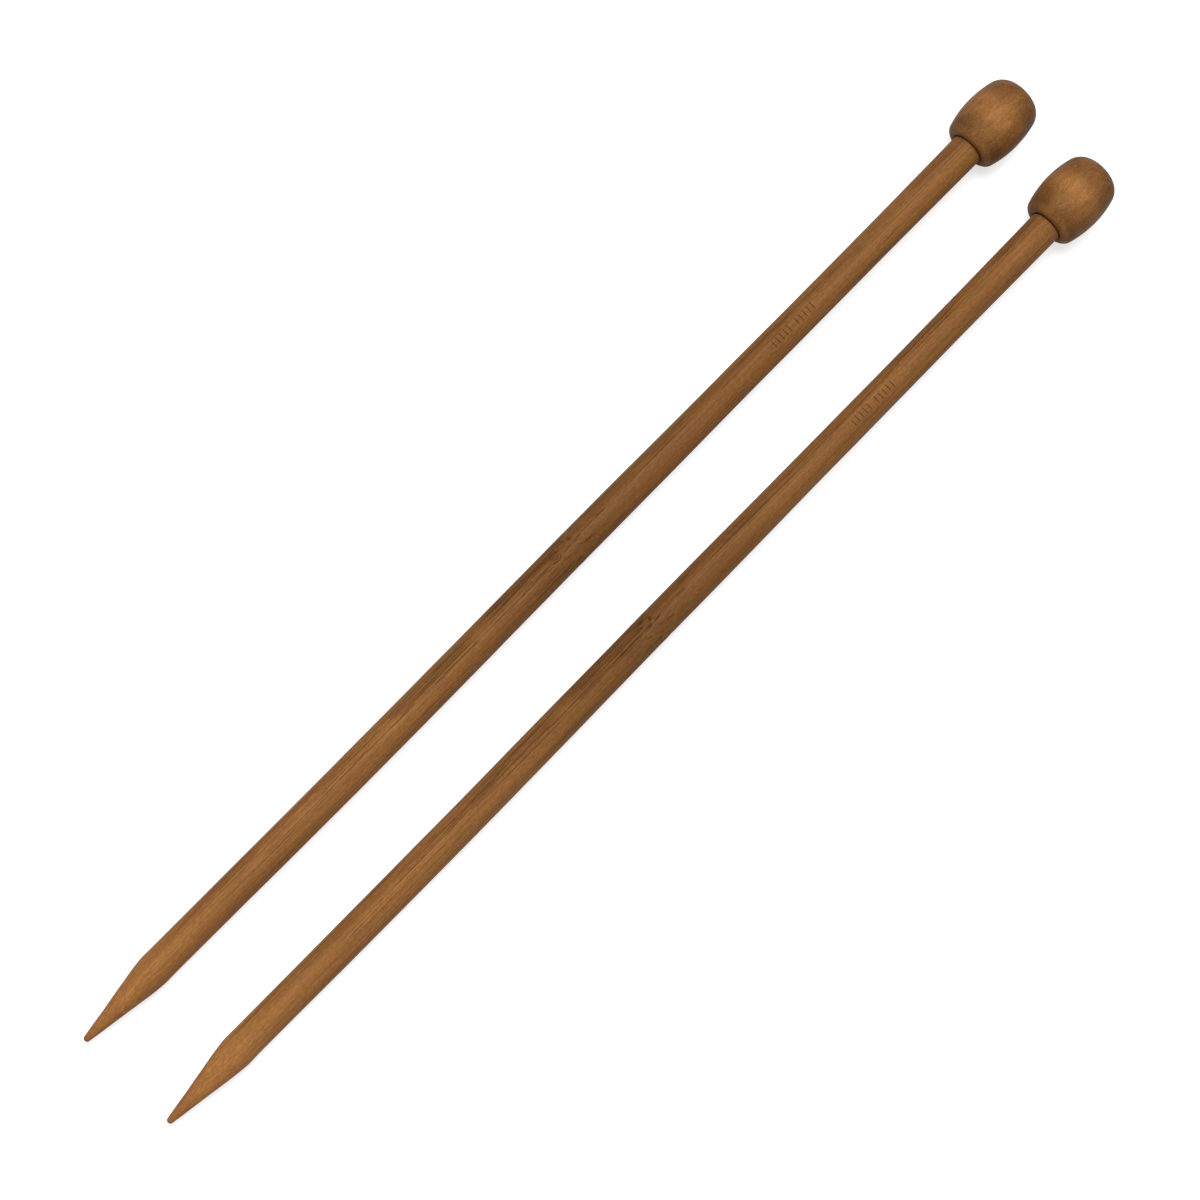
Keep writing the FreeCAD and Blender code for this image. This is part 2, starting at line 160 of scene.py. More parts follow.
# Where dark fibres crowd together: from and to along the needle, from and to round it, strength.
# A zone's edges fade over the given millimetres and degrees
STREAK_FADE_LENGTH = 14
STREAK_FADE_ANGLE = 14
STREAK_ZONES = (
    (30, 99, 36, 72, 0.65), (68, 99, -14, 24, 0.50), (92, 126, 8, 46, 0.85),
    (123, 163, 2, 52, 1.00), (166, 203, 0, 75, 1.00), (128, 146, -46, -26, 0.55),
    (181, 201, -50, -20, 0.30), (206, 226, 30, 62, 0.60), (228, 256, 14, 56, 0.85),
    (252, 302, 14, 60, 0.60), (303, 338, 18, 52, 0.90), (351, 376, 32, 66, 0.80),
    (306, 374, -62, -36, 0.50),
    (60, 150, 110, 175, 0.70), (160, 205, -125, -80, 0.60), (225, 310, -170, -110, 0.70),
    (300, 376, 95, 150, 0.70), (40, 110, -150, -100, 0.50), (210, 260, 80, 130, 0.60),
)

# How thick the needle is: distance from the tip, share of the true radius
UNEVENNESS = ((0, 1.0), (5, 0.975), (9, 0.955), (13, 0.985), (19, 1.01), (24, 1.03), (27, 1.01),
              (32, 0.99), (70, 1.018), (115, 1.034), (143, 1.035), (190, 1.020), (220, 1.022),
              (263, 0.984), (303, 0.973), (339, 0.979), (356, 1.004), (375, 1.022))
# How far the needle bends to its left: distance from the tip, offset
BOW = ((0, 0.42), (10, 0.42), (22, 0.52), (31, 0.60), (50, 0.44), (72, 0.22), (100, 0.04),
       (130, -0.05), (165, 0.03), (202, 0.16), (240, 0.08), (300, 0.0), (400, 0.0))

# About how far sanding leaves the surface from true, in millimetres. The point is sanded once
# more, which fades out at the given distance from the tip
ROD_SANDING = 0.018
POINT_SANDING = 0.02
POINT_SANDING_END = 40.0
POINT_SANDING_FADE = 25.0
KNOB_UNEVENNESS = 0.035

# The knob's turning marks are two waves along its outline: the height of each, in millimetres,
# and how far it goes from one ring to the next, in radians
CLOSE_TURNING_HEIGHT = 0.006
CLOSE_TURNING_ANGLE = 2.1
WIDE_TURNING_HEIGHT = 0.005
WIDE_TURNING_ANGLE = 1.13

# How many points there are round every ring, and how many rings lie across each stroke
SEGMENTS = 144
RINGS_PER_STROKE = 13


def needle_frame(side):
    """Where a needle lies, from its shaft's mount: its matrix, its radius and its knob's base."""
    mounts = {mount["name"]: mount for mount in frame["record"]["mounts"]}
    mount = mounts[f"{side}_working_shaft"]
    along = -Vector(mount["axis"])
    tip_low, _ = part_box(f"{side}_shaft")
    middle = Vector(mount["pos_m"])
    tip = middle - along * ((middle.x - tip_low.x) / along.x)
    across = Vector((0, 1, 0))
    up = along.cross(across)
    matrix = Matrix.Translation(tip) @ Matrix((along, across, up)).transposed().to_4x4()
    radius = mount["dims"]["r_mm"]
    base = TAPER_LENGTH + mount["dims"]["length_mm"] + STEP_CHAMFER
    return matrix, radius, base


def point(x, y):
    return np.array([x, y], float)


def meeting_point(first, first_distance, second, second_distance, above):
    """The point at the given distances from two others, on the upper or the lower side."""
    apart = second - first
    length = np.hypot(*apart)
    along = (length ** 2 + first_distance ** 2 - second_distance ** 2) / (2 * length)
    across = math.sqrt(first_distance ** 2 - along ** 2)
    unit = apart / length
    normal = np.array([-unit[1], unit[0]])
    if (normal[1] > 0) != above:
        normal = -normal
    return first + unit * along + normal * across


def beyond(centre, through, distance):
    """The point at a distance from centre, on the ray through another point."""
    ray = through - centre
    return centre + ray * (distance / np.hypot(*ray))


def arc_points(centre, start, end, step):
    """Points along the shorter arc about centre, from start to end, both included."""
    radius = np.hypot(*(start - centre))
    first = math.atan2(start[1] - centre[1], start[0] - centre[0])
    turn = math.atan2(end[1] - centre[1], end[0] - centre[0]) - first
    turn = (turn + math.pi) % (2 * math.pi) - math.pi
    count = max(2, math.ceil(abs(turn) * radius / step) + 1)
    angles = first + np.linspace(0, turn, count)
    return np.stack([centre[0] + radius * np.cos(angles),
                     centre[1] + radius * np.sin(angles)], axis=1)


def line_points(start, end, step):
    """Points along a straight line, from start to end, both included."""
    count = max(2, math.ceil(np.hypot(*(end - start)) / step) + 1)
    return start + (end - start) * np.linspace(0, 1, count)[:, None]


def joined(*stretches):
    """One outline from stretches that each begin where the last one ended."""
    return np.concatenate([stretches[0]] + [stretch[1:] for stretch in stretches[1:]])


def shaft_outline(radius, base):
    """The shaft's outline from tip to tenon, with close rings only where the surface needs them."""
    ball = point(TIP_RADIUS, 0)
    shoulder = point(TAPER_LENGTH, radius - SHOULDER_RADIUS)
    taper = meeting_point(ball, TAPER_ARC_RADIUS - TIP_RADIUS,
                          shoulder, TAPER_ARC_RADIUS - SHOULDER_RADIUS, above=False)
    taper_start = beyond(taper, ball, TAPER_ARC_RADIUS)
    taper_end = beyond(taper, shoulder, TAPER_ARC_RADIUS)
    stroke_rings = np.linspace(-1, 1, RINGS_PER_STROKE) * STROKE_WIDTH * 0.75
    mark_rings = (stroke_positions()[:, None] + stroke_rings).ravel()
    mark_start, mark_end = mark_rings[0] - 0.4, mark_rings[-1] + 0.4
    joint_start, joint_end = JOINT_X - JOINT_REACH, JOINT_X + JOINT_REACH
    rod_end = base - STEP_CHAMFER
    wide_step, close_step = 1.15, 0.32
    stations = np.concatenate([
        np.arange(TAPER_LENGTH, joint_start, wide_step),
        np.arange(joint_start, joint_end, close_step),
        np.arange(joint_end, mark_start, wide_step),
        mark_rings,
        np.arange(mark_end, rod_end - 0.5, wide_step),
        [rod_end - 0.06, rod_end],
    ])
    cylinder = np.stack([stations, np.full(len(stations), radius)], axis=1)
    step_edge, tenon_start = point(base, radius - STEP_CHAMFER), point(base, TENON_RADIUS)
    end_x = base + TENON_LENGTH
    tenon_end = point(end_x - TENON_CHAMFER, TENON_RADIUS)
    end_edge = point(end_x, TENON_RADIUS - TENON_CHAMFER)
    return joined(
        arc_points(ball, point(0, 0), taper_start, 0.12),
        arc_points(taper, taper_start, taper_end, 0.6),
        arc_points(shoulder, taper_end, point(TAPER_LENGTH, radius), 0.3),
        cylinder,
        np.array([cylinder[-1], step_edge]),
        line_points(step_edge, tenon_start, 0.4),
        line_points(tenon_start, tenon_end, 2.5),
        line_points(tenon_end, end_edge, 1.0),
        line_points(end_edge, point(end_x, 0), 2.0),
    )


def knob_outline():
    """The knob's outline from its crown, round the base and into the bore, to the drill's point."""
    side = point(KNOB_BELLY_OFFSET, KNOB_RADIUS - KNOB_SIDE_RADIUS)
    crown = point(KNOB_LENGTH - KNOB_CROWN_RADIUS, 0)
    crown_corner = meeting_point(side, KNOB_SIDE_RADIUS - KNOB_CROWN_CORNER,
                                 crown, KNOB_CROWN_RADIUS - KNOB_CROWN_CORNER, above=True)
    rise = math.sqrt((KNOB_SIDE_RADIUS - KNOB_BASE_CORNER) ** 2
                     - (KNOB_BASE_CORNER - side[0]) ** 2)
    base_corner = point(KNOB_BASE_CORNER, side[1] + rise)
    crown_start = beyond(crown, crown_corner, KNOB_CROWN_RADIUS)
    side_end = beyond(side, crown_corner, KNOB_SIDE_RADIUS)
    side_start = beyond(side, base_corner, KNOB_SIDE_RADIUS)
    base_edge = point(0, base_corner[1])
    # the lip's arc stops half-way round, and a cone leads on to the bore
    lip_centre = point(MOUTH_LIP_RADIUS, MOUTH_RADIUS + MOUTH_LIP_RADIUS)
    lip_start = point(0, lip_centre[1])
    lip_end = lip_centre - MOUTH_LIP_RADIUS * math.sqrt(0.5)
    bore_start = point(MOUTH_RADIUS - BORE_RADIUS, BORE_RADIUS)
    bore_end = point(BORE_DEPTH, BORE_RADIUS)
    drill_depth = BORE_RADIUS / math.tan(math.radians(DRILL_POINT_ANGLE / 2))
    return joined(
        arc_points(crown, point(KNOB_LENGTH, 0), crown_start, 0.35),
        arc_points(crown_corner, crown_start, side_end, 0.3),
        arc_points(side, side_end, side_start, 0.35),
        arc_points(base_corner, side_start, base_edge, 0.2),
        line_points(base_edge, lip_start, 0.2),
        arc_points(lip_centre, lip_start, lip_end, 0.05),
        line_points(lip_end, bore_start, 0.2),
        line_points(bore_start, bore_end, 2.5),
        line_points(bore_end, point(BORE_DEPTH + drill_depth, 0), 1.2),
    )


def stroke_positions():
    """Where each stroke of the gauge mark is, from the tip."""
    in_group = np.arange(STROKE_COUNT) * STROKE_PITCH
    groups = np.arange(MARK_GROUPS) * MARK_GROUP_PITCH
    positions = (groups[:, None] + in_group).ravel()
    return positions - positions[-1] / 2 + MARK_CENTRE


def smooth_table(table, x):
    """Values from a table of (distance, value) pairs, with its corners rounded off.

    Each is the mean over a tenth of its distance to either side, at least 2 and at most 8 mm.
    """
    distances, values = zip(*table)
    reach = np.linspace(-0.1, 0.1, 9)[:, None, None] * np.clip(x, 20, 80)
    return np.interp(x + reach, distances, values).mean(axis=0)


def smooth_step(value):
    """A soft rise from 0 to 1 as value goes from 0 to 1."""
    value = np.clip(value, 0, 1)
    return value * value * (3 - 2 * value)


def bump_at(distance, width):
    """A smooth bump, 1 at no distance and all but gone at twice its width."""
    return np.exp(-(distance / width) ** 2)


def wave_sum(random, count, longest, shortest, *places):
    """A smooth random field from count sine waves: each place is a coordinate array in mm."""
    total = np.zeros(np.broadcast(*places).shape)
    for _ in range(count):
        phase = random.uniform(0, 2 * math.pi)
        argument = phase
        for place in places:
            wavelength = random.uniform(shortest, longest)
            argument = argument + random.choice([-1, 1]) * 2 * math.pi * place / wavelength
        total += np.sin(argument)
    return total / math.sqrt(count)


def engraving(random, x, y, z):
    """How deep the gauge mark is cut at each point, from 0 to 1: short round-ended strokes."""
    cut = np.zeros(x.shape)
    for stroke_x in stroke_positions():
        half_width = STROKE_WIDTH / 2 * random.uniform(0.92, 1.08)
        reach = STROKE_LENGTH / 2 * random.uniform(0.94, 1.05) - half_width
        shift = random.uniform(-0.08, 0.08)
        depth = random.uniform(0.8, 1.0)
        away = np.hypot(x - stroke_x, np.maximum(np.abs(y - shift) - reach, 0)) / half_width
        cut = np.maximum(cut, depth * smooth_step(1.35 * (1 - away)) * (z > 0))
    return cut


def turned_degrees(y, z):
    """The angle round the needle from its top, positive towards its left."""
    return np.degrees(np.arctan2(y, z))


def degrees_apart(angle, other):
    """How far angle is from the other, from -180 to 180."""
    return (angle - other + 180) % 360 - 180


def joint_darkness(x, y, z, radius):
    """How dark the bamboo's joint is marked at each point, or below zero how light, where a painted
    highlight lies in the eye.
    """
    angle = turned_degrees(y, z)
    dark = np.zeros(x.shape)
    for mark_x, mark_angle, length, width, darkness, turn in JOINT_MARKS_AND_GLINT:
        along = (x - mark_x) / (length / 2)
        across = np.radians(degrees_apart(angle, mark_angle + turn * (x - mark_x))) * radius
        spot = np.exp(-along ** 4 - (across / (width / 2)) ** 2)
        dark += darkness * spot
    return np.clip(dark, -1, 1)


def knob_light_and_tone(x, y, z):
    """How dark, or how pale below zero, a knob is painted at each point: soft patches, mostly
    painted shade and a painted highlight, and on the far side the wood's own tone.
    """
    angle = turned_degrees(y, z)
    dark = np.zeros(x.shape)
    for patch_x, patch_angle, length, width, darkness in KNOB_LIGHT_AND_TONE_PATCHES:
        along = (x - patch_x) / (length / 2)
        across = np.radians(degrees_apart(angle, patch_angle)) * KNOB_RADIUS / (width / 2)
        dark += darkness * np.exp(-along ** 2 - across ** 2)
    return np.clip(dark, -1, 1)


def streak_density(x, y, z):
    """How thickly dark fibres lie at each point, from 0 to 1: soft-edged patches."""
    angle = turned_degrees(y, z)
    density = np.zeros(x.shape)
    for start, end, first, last, strength in STREAK_ZONES:
        middle, half = (first + last) / 2, (last - first) / 2
        from_middle = np.abs(degrees_apart(angle, middle))
        inside_turn = smooth_step((half - from_middle) / STREAK_FADE_ANGLE + 0.5)
        inside_x = (smooth_step((x - start) / STREAK_FADE_LENGTH + 0.5)
                    * smooth_step((end - x) / STREAK_FADE_LENGTH + 0.5))
        density = np.maximum(density, strength * inside_x * inside_turn)
    return density


def rings_round(outline):
    """The true surface of an outline turned round the axis: angles, distances along and radii."""
    angles = np.linspace(0, 2 * math.pi, SEGMENTS, endpoint=False)
    x = outline[:, 0][:, None] * np.ones(SEGMENTS)
    true_radius = outline[:, 1][:, None] * np.ones(SEGMENTS)
    return angles, x, true_radius


def joint_relief(random, x, y, z, radius):
    """How far the bamboo's joint stands out of the rod: its ridge, its hollow and its eye."""
    ridge_x = JOINT_X + RIDGE_WANDER * wave_sum(random, 4, 16, 7, y, z)
    ridge = RIDGE_HEIGHT * bump_at(x - ridge_x, RIDGE_WIDTH)
    hollow = HOLLOW_DEPTH * bump_at(x - ridge_x - HOLLOW_OFFSET, HOLLOW_WIDTH)
    from_eye_x = x - EYE_X
    from_eye_y = y - radius * math.sin(math.radians(EYE_ANGLE))
    from_eye = np.hypot(from_eye_x, from_eye_y)
    eye = EYE_DEPTH * bump_at(from_eye_x, EYE_LENGTH) * bump_at(from_eye_y, EYE_WIDTH)
    eye_rim = EYE_RIM_HEIGHT * bump_at(from_eye - EYE_RIM_RADIUS, EYE_RIM_WIDTH)
    return ridge - hollow + (eye_rim - eye) * (z > 0)


def shaft_surface(outline, radius, random):
    """Points round every ring of the shaft, in mm, and what colours each of them."""
    angles, x, true_radius = rings_round(outline)
    y, z = true_radius * np.sin(angles), true_radius * np.cos(angles)
    on_tenon = (true_radius <= TENON_RADIUS) & (x >= TAPER_LENGTH)

    # sanding runs along the rod, so the surface changes sooner across it
    sanding = ROD_SANDING * wave_sum(random, 9, 90, 25, x, 2.8 * y)
    near_point = smooth_step((POINT_SANDING_END - x) / POINT_SANDING_FADE)
    sanding += POINT_SANDING * wave_sum(random, 7, 22, 9, x, y, z) * near_point
    relief = sanding * true_radius / radius + joint_relief(random, x, y, z, radius)
    cut = engraving(random, x, y, z)
    relief = np.where(on_tenon | (true_radius < 0.05), 0, relief)
    share = np.where(on_tenon, 1.0, smooth_table(UNEVENNESS, x))
    final = true_radius * share + relief - STROKE_DEPTH * cut

    bow = smooth_table(BOW, x)
    points = np.stack([x, final * np.sin(angles) + bow, final * np.cos(angles)], axis=2)
    colouring = {
        "engraved": cut,
        "joint_marks": joint_darkness(x, y, z, radius),
        "streaks": streak_density(x, y, z),
    }
    return points, colouring


def knob_surface(outline, random):
    """Points round every ring of the knob, in mm, with turning marks, and what colours them."""
    angles, x, true_radius = rings_round(outline)
    y, z = true_radius * np.sin(angles), true_radius * np.cos(angles)
    ring = np.arange(len(outline))[:, None]
    turning = (CLOSE_TURNING_HEIGHT * np.sin(CLOSE_TURNING_ANGLE * ring)
               + WIDE_TURNING_HEIGHT * np.sin(WIDE_TURNING_ANGLE * ring + 1))
    uneven = KNOB_UNEVENNESS * wave_sum(random, 9, 30, 12, x, y, z)
    # neither the lip nor the bore is uneven, and the crown's middle is left true
    past_lip = true_radius > MOUTH_RADIUS + MOUTH_LIP_RADIUS + 0.05
    past_bore = x > BORE_DEPTH + BORE_RADIUS
    relief = (turning + uneven) * (past_lip | past_bore) * smooth_step(true_radius / 2)
    final = true_radius + relief
    points = np.stack([x, final * np.sin(angles), final * np.cos(angles)], axis=2)
    # the knob's painted shade and highlight, and its own patches of tone, for the material
    return points, {"toasted": knob_light_and_tone(x, y, z)}


def lathe_mesh(name, rings, colouring):
    """A closed mesh from rings of points: the first and the last ring are poles on the axis."""
    poles = np.stack([rings[0].mean(axis=0), rings[-1].mean(axis=0)])
    body = rings[1:-1]
    count, segments = body.shape[:2]
    points = np.concatenate([body.reshape(-1, 3), poles]) * MM
    first_pole, last_pole = count * segments, count * segments + 1
    index = np.arange(count * segments).reshape(count, segments)
    after = np.roll(index, -1, axis=1)
    quads = np.stack([index[:-1], index[1:], after[1:], after[:-1]], axis=2)
    faces = quads.reshape(-1, 4).tolist()
    faces += [(first_pole, a, b) for a, b in zip(index[0].tolist(), after[0].tolist())]
    faces += [(last_pole, b, a) for a, b in zip(index[-1].tolist(), after[-1].tolist())]
    mesh = bpy.data.meshes.new(name)
    mesh.from_pydata(points.tolist(), [], faces)
    mesh.validate()
    mesh.shade_smooth()
    mesh.set_sharp_from_angle(angle=math.radians(40))
    outward(mesh)
    for attribute_name, values in colouring.items():
        attribute = mesh.attributes.new(attribute_name, "FLOAT", "POINT")
        at_poles = [values[0, 0], values[-1, 0]]
        attribute.data.foreach_set("value", np.append(values[1:-1].ravel(), at_poles))
    return mesh


def outward(mesh):
    """Turn the faces so that they look out of the closed mesh."""
    shape = bmesh.new()
    shape.from_mesh(mesh)
    bmesh.ops.recalc_face_normals(shape, faces=shape.faces)
    shape.to_mesh(mesh)
    shape.free()


def add_piece(name, mesh, matrix, material):
    """Put a mesh with its material in the scene."""
    mesh.materials.append(material)
    piece = bpy.data.objects.new(name, mesh)
    piece.matrix_world = matrix
    bpy.context.scene.collection.objects.link(piece)
    return piece


def scaled(values, factor):
    return tuple(value * factor for value in values)


class Shader:
    """A node material, built one node at a time."""

    def __init__(self, name):
        self.material = bpy.data.materials.new(name)
        self.material.use_nodes = True
        self.tree = self.material.node_tree
        self.principled = self.tree.nodes["Principled BSDF"]

    def connect(self, source, socket):
        """Link a node's output, or set a constant."""
        if isinstance(source, bpy.types.NodeSocket):
            self.tree.links.new(source, socket)
        else:
            socket.default_value = source

    def math(self, operation, *values):
        node = self.tree.nodes.new("ShaderNodeMath")
        node.operation = operation
        for socket, value in zip(node.inputs, values):
            self.connect(value, socket)
        return node.outputs["Value"]

    def remap(self, value, low, high, to_low=0.0, to_high=1.0, smooth=True):
        """Carry a value from one range to another, and hold it at the ends."""
        node = self.tree.nodes.new("ShaderNodeMapRange")
        node.interpolation_type = "SMOOTHSTEP" if smooth else "LINEAR"
        for name, source in (("Value", value), ("From Min", low), ("From Max", high),
                             ("To Min", to_low), ("To Max", to_high)):
            self.connect(source, node.inputs[name])
        return node.outputs["Result"]

    def vary(self, noise, low, high):
        """A factor that goes from low to high over the range that noise mostly keeps to."""
        return self.remap(noise, 0.3, 0.7, low, high, smooth=False)

    def fade(self, mark, left):
        """A factor that is 1 where there is no mark and left where the mark is full."""
        return self.remap(mark, 0.0, 1.0, 1.0, left, smooth=False)

    def product(self, *values):
        """Values multiplied one after another."""
        total = values[0]
        for value in values[1:]:
            total = self.math("MULTIPLY", total, value)
        return total

    def centred(self, noise, width):
        """Noise as a shift to either side, width apart at most."""
        return self.math("MULTIPLY", self.math("SUBTRACT", noise, 0.5), width)

    def hypotenuse(self, first, second):
        squares = [self.math("MULTIPLY", value, value) for value in (first, second)]
        return self.math("SQRT", self.math("ADD", *squares))

    def wave(self, distance, pitch):
        """A sine wave over a distance in metres, from -1 to 1, its pitch in millimetres."""
        return self.math("SINE", self.math("MULTIPLY", distance, 2 * math.pi / (pitch * MM)))

    def noise(self, vector, scale, detail=2.0, roughness=0.5, offset=(0, 0, 0)):
        """Noise stretched by a different scale along each axis, per metre."""
        mapping = self.tree.nodes.new("ShaderNodeMapping")
        mapping.inputs["Scale"].default_value = scale
        mapping.inputs["Location"].default_value = offset
        self.connect(vector, mapping.inputs["Vector"])
        node = self.tree.nodes.new("ShaderNodeTexNoise")
        self.connect(mapping.outputs["Vector"], node.inputs["Vector"])
        node.inputs["Scale"].default_value = 1.0
        node.inputs["Detail"].default_value = detail
        node.inputs["Roughness"].default_value = roughness
        return node.outputs["Fac"]

    def ramp(self, value, stops):
        """A colour ramp: each stop is (position, colour)."""
        node = self.tree.nodes.new("ShaderNodeValToRGB")
        node.color_ramp.interpolation = "CARDINAL"
        elements = node.color_ramp.elements
        while len(elements) < len(stops):
            elements.new(0.5)
        for element, (position, colour) in zip(elements, stops):
            element.position = position
            element.color = (*colour, 1)
        self.connect(value, node.inputs["Fac"])
        return node.outputs["Color"]

    def tone_along(self, x, length, hue, tones):
        """A hue whose brightness follows a table of (place, tone) pairs along a piece, in mm."""
        stops = [(place / length, scaled(hue, tone)) for place, tone in tones]
        return self.ramp(self.math("DIVIDE", x, length * MM), stops)

    def mix(self, factor, first, second, blend="MIX"):
        """Mix two colours, which are the node's sockets 6 and 7, into its output 2."""
        node = self.tree.nodes.new("ShaderNodeMix")
        node.data_type = "RGBA"
        node.blend_type = blend
        for index, source in ((0, factor), (6, first), (7, second)):
            self.connect(source, node.inputs[index])
        return node.outputs[2]

    def attribute(self, name):
        node = self.tree.nodes.new("ShaderNodeAttribute")
        node.attribute_name = name
        return node.outputs["Fac"]

    def object_position(self):
        """The place on the piece, in metres from its own origin."""
        node = self.tree.nodes.new("ShaderNodeTexCoord")
        return node.outputs["Object"]

    def separate(self, vector):
        node = self.tree.nodes.new("ShaderNodeSeparateXYZ")
        self.connect(vector, node.inputs[0])
        return node.outputs["X"], node.outputs["Y"], node.outputs["Z"]

    def combine(self, x, y, z):
        node = self.tree.nodes.new("ShaderNodeCombineXYZ")
        for socket, source in zip(node.inputs, (x, y, z)):
            self.connect(source, socket)
        return node.outputs["Vector"]

    def bump(self, height, distance, strength):
        node = self.tree.nodes.new("ShaderNodeBump")
        node.inputs["Distance"].default_value = distance
        node.inputs["Strength"].default_value = strength
        self.connect(height, node.inputs["Height"])
        return node.outputs["Normal"]

    def tinted(self, colour, shade, leaning, deepening, blue_lean):
        """A colour times shade: darker is a deeper brown, and leaning goes from red to olive."""
        green = self.vary(leaning, 0.96, 1.04)
        blue = self.vary(leaning, 1 + blue_lean, 1 - blue_lean)
        tint = self.combine(
            shade,
            self.math("MULTIPLY", self.math("POWER", shade, 1 + deepening), green),
            self.math("MULTIPLY", self.math("POWER", shade, 1 + 2 * deepening), blue))
        return self.mix(1.0, colour, tint, "MULTIPLY")

    def surface(self, **sockets):
        """Set the surface's sockets by name, with _ for each space."""
        for name, source in sockets.items():
            self.connect(source, self.principled.inputs[name.replace("_", " ")])


# The colour of both woods' soft gloss
SHEEN_TINT = (1.0, 0.66, 0.42, 1)

BAMBOO_HUE = (0.240, 0.1020, 0.0300)
# Tone along the shaft: distance from the tip in mm, brightness
BAMBOO_TONES = ((0, 1.15), (9, 1.20), (22, 1.30), (33, 1.13), (58, 1.00), (97, 0.99),
                (126, 0.94), (160, 0.80), (196, 0.63), (220, 0.68), (255, 0.79), (295, 0.81),
                (342, 0.83), (390, 0.85))


def bamboo_material(name, seed, shaft_length):
    """Carbonised bamboo: fibres run through the rod as long dark streaks, and end at the point."""
    wood = Shader(name)
    position = wood.object_position()
    x, y, z = wood.separate(position)
    drift = (seed * 0.37, seed * 0.71, seed * 0.53)

    # the fibres wander slightly, and swirl round the bamboo's joint
    joint_distance = wood.math("ABSOLUTE", wood.math("SUBTRACT", x, JOINT_X * MM))
    near_joint = wood.remap(joint_distance, JOINT_REACH * MM, 0.0)
    wander = wood.noise(position, (22, 120, 120), detail=1, offset=drift)
    swirl = wood.noise(position, (240, 420, 420), detail=1, offset=drift)
    swirl_shift = wood.product(wood.centred(swirl, 2.2 * MM), near_joint)
    shift = wood.math("ADD", wood.centred(wander, 0.5 * MM), swirl_shift)
    fibre_position = wood.combine(x, wood.math("ADD", y, shift), wood.math("SUBTRACT", z, shift))

    fine = wood.noise(fibre_position, (13, 2400, 2400), detail=2, roughness=0.6, offset=drift)
    bands = wood.noise(fibre_position, (6, 380, 380), detail=2, offset=scaled(drift, 3))
    patches = wood.noise(position, (38, 150, 150), detail=3, offset=scaled(drift, 5))
    specks = wood.noise(position, (700, 2200, 2200), detail=2, offset=scaled(drift, 6))

    # dark fibres: long thin ones, and short ones that crowd together. The more densely they lie,
    # the lower is the noise that already counts as a fibre
    density = wood.attribute("streaks")
    streaks = 0.0
    for scale, rare, crowded, number in (((26, 2300, 2300), 0.66, 0.50, 2),
                                         ((80, 2900, 2900), 0.74, 0.56, 7)):
        bundles = wood.noise(fibre_position, scale, detail=1, offset=scaled(drift, number))
        threshold = wood.remap(density, 0.0, 1.0, rare, crowded, smooth=False)
        streak = wood.remap(bundles, threshold, wood.math("ADD", threshold, 0.05))
        streaks = wood.math("MAXIMUM", streaks, streak)
    streaks = wood.product(streaks, wood.remap(density, 0.0, 1.0, 0.5, 1.0, smooth=False))
    # the joint's dark marks, with a painted highlight in the eye that takes darkness away
    joint_marks = wood.attribute("joint_marks")

    shade = wood.product(
        wood.vary(bands, 0.90, 1.10), wood.vary(fine, 0.84, 1.16),
        wood.vary(patches, 0.93, 1.07), wood.vary(specks, 0.84, 1.16),
        wood.fade(streaks, 0.59), wood.fade(joint_marks, 0.38),
        wood.fade(wood.attribute("engraved"), 0.75))
    leaning = wood.noise(position, (190, 480, 480), detail=2, offset=scaled(drift, 8))
    colour = wood.tinted(wood.tone_along(x, shaft_length, BAMBOO_HUE, BAMBOO_TONES), shade,
                         leaning, deepening=0.06, blue_lean=0.08)

    height = wood.math("SUBTRACT", wood.math("MULTIPLY", fine, 0.6), streaks)
    height = wood.math("SUBTRACT", height, joint_marks)
    roughness = wood.math("ADD", wood.vary(fine, 0.60, 0.50), wood.math("MULTIPLY", streaks, 0.1))
    wood.surface(Base_Color=colour, Roughness=roughness, Specular_IOR_Level=0.14,
                 Specular_Tint=SHEEN_TINT, Normal=wood.bump(height, 0.035 * MM, strength=0.6))
    return wood.material


KNOB_HUE = (0.275, 0.1160, 0.0335)
# Brightness painted along the knob, mostly painted light: a highlight round the middle, painted
# shade towards both ends and a paler lip. Distance from its base in mm, brightness
KNOB_PAINTED_LIGHT = ((0, 0.84), (2, 0.55), (4.5, 0.66), (7.5, 0.76), (11, 0.83), (14, 0.71),
              (17, 0.61), (20, 0.57), (25, 0.50))

# How far apart the turning marks and the growth rings are, and where the rings' middle is: to the
# left of the knob's axis and below it, in millimetres
TURNING_PITCH = 0.6
GROWTH_RING_PITCH = 0.75
PITH_LEFT = 2.6
PITH_BELOW = 1.4


